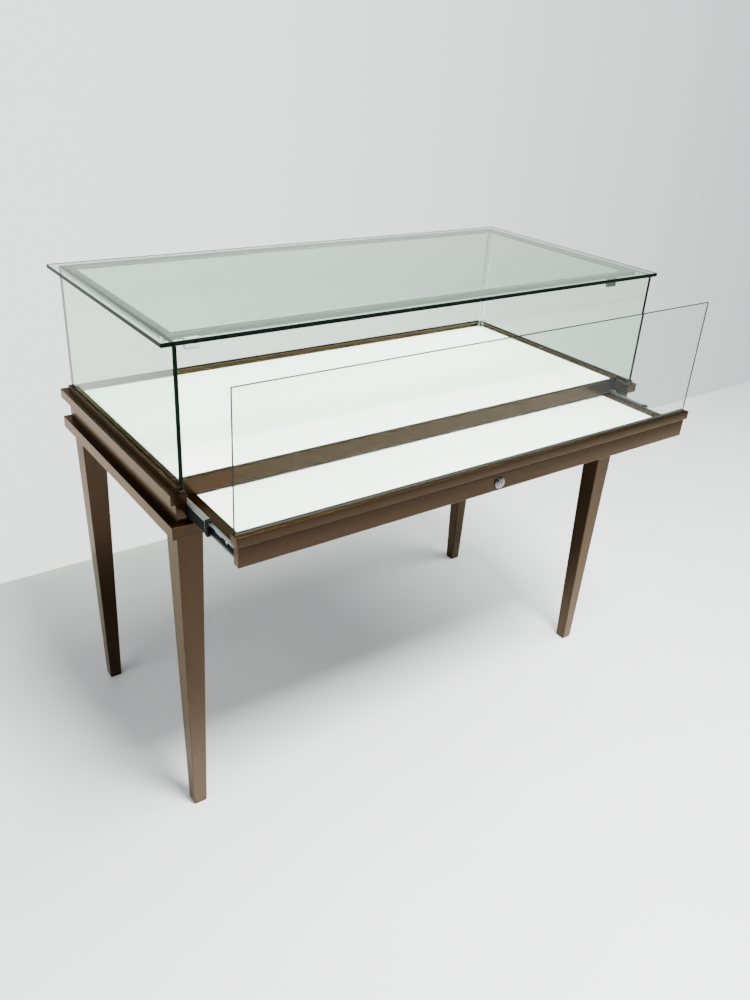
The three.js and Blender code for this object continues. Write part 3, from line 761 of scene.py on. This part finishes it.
# Lighting.
# Anodised aluminium channels under the top pane, open downwards, each with a strip of warm white
# diodes, 60 to the metre. The outer wall shades a shopper's eyes and has a lip for a cover; the
# inner one is low, so that the light spreads over the deck.
anodised = mottled(
    "natural_anodised_aluminium",
    "#575d5a",
    "#6b716e",
    500.0,
    {"Metallic": 0.75, "Roughness": 0.42},
)
tape_white = mottled("white_printed_tape", "#ece9df", "#f7f5ee", 200.0, {"Roughness": 0.4})
phosphor = {
    "Base Color": linear("#fff3cf"),
    "Roughness": 0.5,
    "Emission Color": linear("#fff4dc"),
    "Emission Strength": 130.0,
}
diode_glow, out = new_material("lit_phosphor")
lit = add_node(diode_glow.node_tree, "ShaderNodeBsdfPrincipled", phosphor)
diode_glow.node_tree.links.new(lit.outputs[0], out.inputs["Surface"])

glue = 0.1 * mm
wall, lip, lip_height, sill = 1.2 * mm, 2.0 * mm, 0.9 * mm, 3.4 * mm
diode_pitch = 16.67 * mm
diode_size = np.array([5.0, 4.0, 0.8]) * mm
diode_taper = 0.86
tape_margin = 6 * mm
for place, run, inwards in (("front", 0, 1), ("rear", 0, -1), ("left", 1, 1), ("right", 1, -1)):
    over = 1 - run
    low, high = corners_of(f"led_channel_{place}")
    top = high[2] - glue
    outside, inside = (low[over], high[over])[::inwards]
    section = [
        (outside, top),
        (outside, low[2]),
        (outside + inwards * lip, low[2]),
        (outside + inwards * lip, low[2] + lip_height),
        (outside + inwards * wall, low[2] + lip_height),
        (outside + inwards * wall, top - wall),
        (inside - inwards * wall, top - wall),
        (inside - inwards * wall, top - sill),
        (inside, top - sill),
        (inside, top),
    ]
    rings = carried(rounded(section, 0.25 * mm, 2), run, (low[run], high[run]))
    node = f"led_channel_{place}"
    ringed(f"light_channel_{place}", rings, anodised, "cabinet", [node])

    # The tape, and a cube for each diode that glows on its lower face.
    low, high = corners_of(f"led_tape_{place}")
    low[2], high[2] = high[2] - 0.5 * mm, high[2] - 0.2 * mm
    tape = soft_block(low, high, 0.1 * mm)
    tape_faces = tube_faces(*tape.shape[:2])
    count = int((high[run] - low[run] - tape_margin) / diode_pitch)
    centres = np.tile((low + high) / 2, (count, 1))
    centres[:, run] += (np.arange(count) - (count - 1) / 2) * diode_pitch
    centres[:, 2] = low[2] - diode_size[2] / 2
    half = diode_size / 2 if run == 0 else diode_size[[1, 0, 2]] / 2
    signs = np.array([[x, y, z] for z in (-1, 1) for x, y in ((-1, -1), (1, -1), (1, 1), (-1, 1))])
    narrowed = np.where(signs[:, 2:] < 0, diode_taper, 1.0)
    cubes = centres[:, None, :] + signs[None] * half * narrowed
    cube_faces = np.array(
        [[3, 2, 1, 0], [4, 5, 6, 7], [0, 1, 5, 4], [1, 2, 6, 5], [2, 3, 7, 6], [3, 0, 4, 7]]
    )
    first_corner = tape.shape[0] * tape.shape[1] + 8 * np.arange(count)
    all_cubes = (cube_faces[None] + first_corner[:, None, None]).reshape(-1, 4)
    make_piece(
        f"light_tape_{place}",
        np.concatenate([tape.reshape(-1, 3), cubes.reshape(-1, 3)]),
        tape_faces + all_cubes.tolist(),
        [tape_white, diode_glow],
        "cabinet",
        [f"led_tape_{place}"],
        30,
        [0] * len(tape_faces) + [1, 0, 0, 0, 0, 0] * count,
    )

# Cable cover.
# Clear extruded acrylic trunking up the rear right corner, for the lead from the supply to the
# channels. Its snap-on lid leaves a fine groove down two faces.
acrylic = see_through(
    "clear_extruded_acrylic", "#f4f7f5", 1.49, 0.08, (150.0, 2.0), (0.02, 0.0005)
)
low, high = corners_of("cable_cover")
groove = 0.5 * mm
lid_y = low[1] + 3 * mm
trunking = [
    (low[0], low[1]),
    (high[0], low[1]),
    (high[0], lid_y),
    (high[0] - groove, lid_y),
    (high[0] - groove, lid_y + groove),
    (high[0], lid_y + groove),
    (high[0], high[1]),
    (low[0], high[1]),
    (low[0], lid_y + groove),
    (low[0] + groove, lid_y + groove),
    (low[0] + groove, lid_y),
    (low[0], lid_y),
]
rings = carried(rounded(trunking, 0.8 * mm, 3), 2, (low[2], high[2] - 0.1 * mm))
ringed("corner_trunking", rings, acrylic, "cabinet", ["cable_cover"])

# Pane stops.
# Two small stops glued under the top pane, against which the closed front pane rests: a pale grey
# one on the left and a dark one on the right.
grey_stop = mottled("grey_soft_pvc", "#878d8b", "#a3a9a6", 160.0, {"Roughness": 0.45})
for side, material in (("left", grey_stop), ("right", rubber)):
    node = f"pane_stop_{side}"
    low, high = corners_of(node)
    high[2] -= glue
    rings = soft_block(low, high, 1.6 * mm)
    ringed(f"glass_stop_{side}", rings, material, "cabinet", [node])

# Supply unit.
# The power supply of the lights: a white moulded PVC case with a stepped lid, standing on the
# case's bottom board behind the drawer.
white_pvc = mottled(
    "white_moulded_pvc", "#eceeec", "#f6f7f6", 150.0, {"Roughness": 0.38, "IOR": 1.53}
)
low, high = corners_of("led_driver")
steps = [
    (0.0, low[2]),
    (0.0, low[2] + 16 * mm),
    (1.2 * mm, low[2] + 16.6 * mm),
    (1.2 * mm, high[2] - 1.5 * mm),
    (2.6 * mm, high[2]),
]
rings = level_rings(
    [(rounded(box_outline(low[:2] + inset, high[:2] - inset), 4 * mm, 5), z) for inset, z in steps]
)
ringed("supply_unit", rings, white_pvc, "cabinet", ["led_driver"])

# Drawer slides.
# Three-part ball-bearing slides of rolled zinc-plated steel: a member on the case, one between
# and one on the drawer side. The lips are hollowed for the balls, so only their rims shine. Thin
# black sheets on the webs that show are painted shade: one on the outer face of the middle
# member's web, and one with slot-shaped holes inside the drawer member's channel. The zinc
# is dull and even, so a lip has a soft sheen and no sharp mirroring.
zinc = mottled("zinc_plated_steel", "#8b8e91", "#9c9fa1", 240.0, metal, 3.0, gloss=(0.36, 0.42))
steel = 1.2 * mm


def slide_member(name, node, body, open_to, bend, hollow):
    """A U section with rounded bends along Y; open_to is the sign of x to which it is open.

    Each lip is a ball track: it dips inwards by hollow times sin(pi s) between the web (s = 0)
    and its rim (s = 1).
    """
    low, high = corners_of(node)
    web, lip = (low[0], high[0]) if open_to > 0 else (high[0], low[0])
    inner = web + open_to * steel
    s = np.linspace(0, 1, 9)
    dip = hollow * np.sin(np.pi * s)
    outer_x = web + open_to * bend + (lip - web - open_to * bend) * s
    inner_x = inner + (lip - inner) * s
    top, foot = high[2], low[2]
    t = np.linspace(0, math.pi / 2, 5)[1:]
    bend_x = web + open_to * bend * (1 - np.sin(t))
    bend_z = bend * (1 - np.cos(t))
    outline = np.concatenate(
        [
            np.column_stack([bend_x[::-1], foot + bend_z[::-1]]),
            np.column_stack([outer_x, foot + dip]),
            np.column_stack([inner_x, foot + dip + steel])[::-1],
            np.column_stack([inner_x, top - dip - steel]),
            np.column_stack([outer_x, top - dip])[::-1],
            np.column_stack([bend_x, top - bend_z]),
        ]
    )
    ringed(name, carried(outline, 1, (low[1], high[1])), zinc, body, [node])


def stadium_cut(piece, centre, length, height):
    """Cuts a slot with round ends along Y through an upright web: half circles of the slot's
    height, (length - height) apart."""
    outline = circle(height / 2, (0, 0), 24)
    outline[:, 0] += np.where(outline[:, 0] > 0, 1, -1) * (length - height) / 2
    outline += centre[1:]
    subtract(piece, carried(outline, 0, (centre[0] - 3 * mm, centre[0] + 3 * mm)))


screw_head = [
    (0, 0),
    (3.6 * mm, 0),
    (3.5 * mm, 0.7 * mm),
    (2.6 * mm, 1.5 * mm),
    (1.3 * mm, 1.8 * mm),
    (1.0 * mm, 1.1 * mm),
    (0, 0.9 * mm),
]
# In mm along the member from its front end: where each slot is and how long, and the screws.
slots = ((9, 5), (22, 5), (66, 26), (128, 9), (190, 26), (262, 9), (338, 26))
screw_places = (36, 100, 226, 366)
shade_strip_half = 7 * mm
bumper_reach = 10.1 * mm
bumper_wall = 2.4 * mm
bumper_proud = 0.7 * mm
bumper_shelf = 2.9 * mm
bumper_length = 8.6 * mm
for side, sign in (("left", -1), ("right", 1)):
    runner = f"slide_{side}"
    slide_member(f"case_member_{side}", f"slide_outer_{side}", "cabinet", -sign, 2 * mm, 0.6 * mm)
    slide_member(f"middle_member_{side}", f"slide_middle_{side}", runner, -sign, 3 * mm, 0.8 * mm)
    slide_member(f"drawer_member_{side}", f"slide_inner_{side}", "drawer", sign, 1.2 * mm, 1.4 * mm)
    low, high = corners_of(f"slide_inner_{side}")
    web_x = low[0] if sign > 0 else high[0]
    mid_z = (low[2] + high[2]) / 2

    # A black strip on the drawer member's web, inside its channel: painted shade, with slots cut in
    # it that show the bright steel.
    shade_strip_x = sorted(web_x + sign * (steel + depth * mm) for depth in (0.05, 0.85))
    strip_low = (shade_strip_x[0], low[1] + 1 * mm, mid_z - shade_strip_half)
    strip_high = (shade_strip_x[1], high[1] - 1 * mm, mid_z + shade_strip_half)
    strip = soft_block(strip_low, strip_high, 0.2 * mm)
    shade_strip = ringed(
        f"drawer_member_painted_shade_{side}", strip, black_plastic, "drawer"
    )
    for start, length in slots:
        stadium_cut(shade_strip, (web_x, low[1] + start * mm, mid_z), length * mm, 4.6 * mm)
    heads, head_faces = [], []
    for start in screw_places:
        middle = (low[1] + start * mm, mid_z)
        points, faces = turned(screw_head, 0, middle, web_x + sign * steel, sign, 28)
        offset = sum(len(head) for head in heads)
        heads.append(points.reshape(-1, 3))
        head_faces += [[i + offset for i in face] for face in faces]
    make_piece(
        f"slide_screws_{side}", np.concatenate(heads), head_faces, [zinc], "drawer"
    )

    # The black moulded bumper on the front end of the middle member, and a thin black sheet on the
    # outer face of its web: painted shade on the web.
    low, high = corners_of(f"slide_middle_{side}")
    web_out = high[0] if sign > 0 else low[0]
    lip_x = web_out - sign * bumper_reach
    wall_x = web_out - sign * bumper_wall
    bumper = [
        (web_out, low[2] - bumper_proud),
        (lip_x, low[2] - bumper_proud),
        (lip_x, low[2] + bumper_shelf),
        (wall_x, low[2] + bumper_shelf),
        (wall_x, high[2] - bumper_shelf),
        (lip_x, high[2] - bumper_shelf),
        (lip_x, high[2] + bumper_proud),
        (web_out, high[2] + bumper_proud),
    ]
    bumper_y = (low[1] - bumper_length, low[1] - 0.1 * mm)
    rings = carried(rounded(bumper, 0.5 * mm, 3), 1, bumper_y)
    ringed(f"middle_member_bumper_{side}", rings, black_plastic, runner)
    # The sheet is painted shade: black laid over the web where it would be in shade.
    shade_sheet_x = sorted((web_out, web_out + sign * 0.3 * mm))
    shade_sheet_low = (shade_sheet_x[0], low[1] + 1 * mm, low[2] + 3 * mm)
    shade_sheet_high = (shade_sheet_x[1], low[1] + 170 * mm, high[2] - 3 * mm)
    shade_sheet = soft_block(shade_sheet_low, shade_sheet_high, 0.1 * mm)
    ringed(f"web_shade_sheet_{side}", shade_sheet, black_plastic, runner)

# Drawer.
# A shallow tray: a bronze-wrapped front with its own upper moulding and recessed band, grooved
# sides and a rear, glued and screwed. It carries the front pane in a slot.
low, high = corners_of("drawer_front")
face_y, back_y = low[1], high[1]
foot_z, top_z = low[2], high[2]
band_inset = 5 * mm
lower = soft_block(
    (low[0] + band_inset, face_y + band_inset, foot_z),
    (high[0] - band_inset, back_y, cornice_under + 1 * mm),
    edge_wear,
)
upper = soft_block((low[0], face_y, cornice_under), (high[0], back_y, top_z), edge_wear)
band = ringed("drawer_front_band", lower, bronze_x, "drawer")
moulding = ringed(
    "drawer_front_moulding", upper, bronze_x, "drawer", ["drawer_front"]
)
pane_low, pane_high = corners_of("front_pane")
slot_room = 0.3 * mm
cut_away(
    moulding,
    (pane_low[0] - slot_room, pane_low[1] - slot_room, pane_low[2] - 0.2 * mm),
    (pane_high[0] + slot_room, pane_high[1] + slot_room, top_z + 10 * mm),
)
lock_low, lock_high = corners_of("lock_body")
lock = (0.0, (lock_low[2] + lock_high[2]) / 2)
bore = circle(9.8 * mm, lock, round_count)
subtract(band, carried(bore, 1, (face_y - 10 * mm, back_y + 10 * mm)))

board_low, board_high = corners_of("drawer_panel")
groove_depth = 5 * mm
groove_room = 0.3 * mm
for side, sign in (("left", -1), ("right", 1)):
    low, high = corners_of(f"drawer_side_{side}")
    outer, inner = (high[0], low[0]) if sign > 0 else (low[0], high[0])
    groove_x = inner + sign * groove_depth
    section = [
        (inner, low[2]),
        (outer, low[2]),
        (outer, high[2]),
        (inner, high[2]),
        (inner, board_high[2] + groove_room),
        (groove_x, board_high[2] + groove_room),
        (groove_x, board_low[2] - groove_room),
        (inner, board_low[2] - groove_room),
    ]
    rings = carried(rounded(section, 0.6 * mm), 1, (low[1], high[1]))
    node = f"drawer_side_{side}"
    ringed(f"drawer_rail_{side}", rings, bronze_y, "drawer", [node])
block_of("drawer_back_rail", "drawer_rear", 0.6 * mm, bronze_x, "drawer")

# Front pane.
# Thinner float glass standing in the drawer front between two black rubber glazing beads. It
# mirrors less than the other panes, so that the goods behind it show.
thin_glass = see_through(
    "clear_low_mirror_glass", "#eff9f1", 1.24, 0.0, roller_waves, roller_relief
)
glass_pane("sliding_front_pane", "front_pane", "drawer", 0.5 * mm, clear=thin_glass)
bead_r = 1.1 * mm
bead_gap = 0.05 * mm
bead_x = (pane_low[0] + 1 * mm, pane_high[0] - 1 * mm)
for name, y in (
    ("outer", pane_low[1] - bead_r - bead_gap),
    ("inner", pane_high[1] + bead_r + bead_gap),
):
    rings = carried(circle(bead_r, (y, top_z + 0.2 * mm), 16), 0, bead_x)
    ringed(f"glazing_bead_{name}", rings, rubber, "drawer")

# Lock.
# A chromed cam lock: a turned barrel with a ring against the drawer front, the plug with its
# keyway, and a zinc-plated cam on the plug's tail behind the board.
fascia_y = face_y + band_inset
nose_y, tail_y = lock_low[1], lock_high[1]
body_profile = [
    (6.2 * mm, nose_y + 0.3 * mm),
    (6.5 * mm, nose_y),
    (8.9 * mm, nose_y),
    (9.35 * mm, nose_y + 0.2 * mm),
    (9.5 * mm, nose_y + 0.7 * mm),
    (9.5 * mm, fascia_y - 2.6 * mm),
    (9.8 * mm, fascia_y - 2.5 * mm),
    (11.2 * mm, fascia_y - 2.4 * mm),
    (11.8 * mm, fascia_y - 2.0 * mm),
    (12.0 * mm, fascia_y - 1.2 * mm),
    (12.0 * mm, fascia_y - 0.05 * mm),
    (9.5 * mm, fascia_y - 0.05 * mm),
    (9.5 * mm, tail_y - 0.5 * mm),
    (9.0 * mm, tail_y),
    (6.2 * mm, tail_y),
]
points, faces = turned(body_profile, 1, lock)
make_piece("lock_barrel", points, faces, [chrome], "drawer", ["lock_body"], 35)
plug_low, plug_high = corners_of("lock_plug")
plug_y = plug_low[1]
plug_profile = [
    (0, plug_y),
    (5.4 * mm, plug_y),
    (5.85 * mm, plug_y + 0.2 * mm),
    (6.0 * mm, plug_y + 0.7 * mm),
    (6.0 * mm, tail_y),
    (3.0 * mm, tail_y),
    (3.0 * mm, plug_high[1] - 0.4 * mm),
    (2.6 * mm, plug_high[1]),
    (0, plug_high[1]),
]
points, faces = turned(plug_profile, 1, lock)
plug = make_piece("lock_plug_turned", points, faces, [chrome], "lock", ["lock_plug"], 35)
key_width, key_height = 1.6 * mm, 7 * mm
cut_away(
    plug,
    (-key_width / 2, plug_y - 3 * mm, lock[1] - key_height / 2),
    (key_width / 2, plug_y + 4 * mm, lock[1] + key_height / 2),
)
cam_low, cam_high = corners_of("lock_cam")
cam_t = np.linspace(math.pi / 2, 3 * math.pi / 2, 17)
cam_r = (cam_high[2] - cam_low[2]) / 2
tip_x = cam_high[0] - cam_r
hub_end = np.column_stack([cam_r * np.cos(cam_t), lock[1] + cam_r * np.sin(cam_t)])
tip_end = np.column_stack([tip_x - cam_r * np.cos(cam_t), lock[1] - cam_r * np.sin(cam_t)])
cam_outline = np.concatenate([hub_end, tip_end])
cam_middle = cam_outline.mean(0)
soften = 0.3 * mm
rings = []
for shrink, y in (
    (soften, cam_low[1]),
    (0, cam_low[1] + soften),
    (0, cam_high[1] - soften),
    (soften, cam_high[1]),
):
    drawn_in = (cam_outline - cam_middle) * (1 - shrink / cam_r) + cam_middle
    rings.append(carried(drawn_in, 1, [y])[0])
cam = ringed("lock_cam_plate", rings, zinc, "lock", ["lock_cam"])
tail_hole = circle(3.15 * mm, lock, round_count)
subtract(cam, carried(tail_hole, 1, (cam_low[1] - 5 * mm, cam_high[1] + 5 * mm)))

bpy.context.view_layer.update()
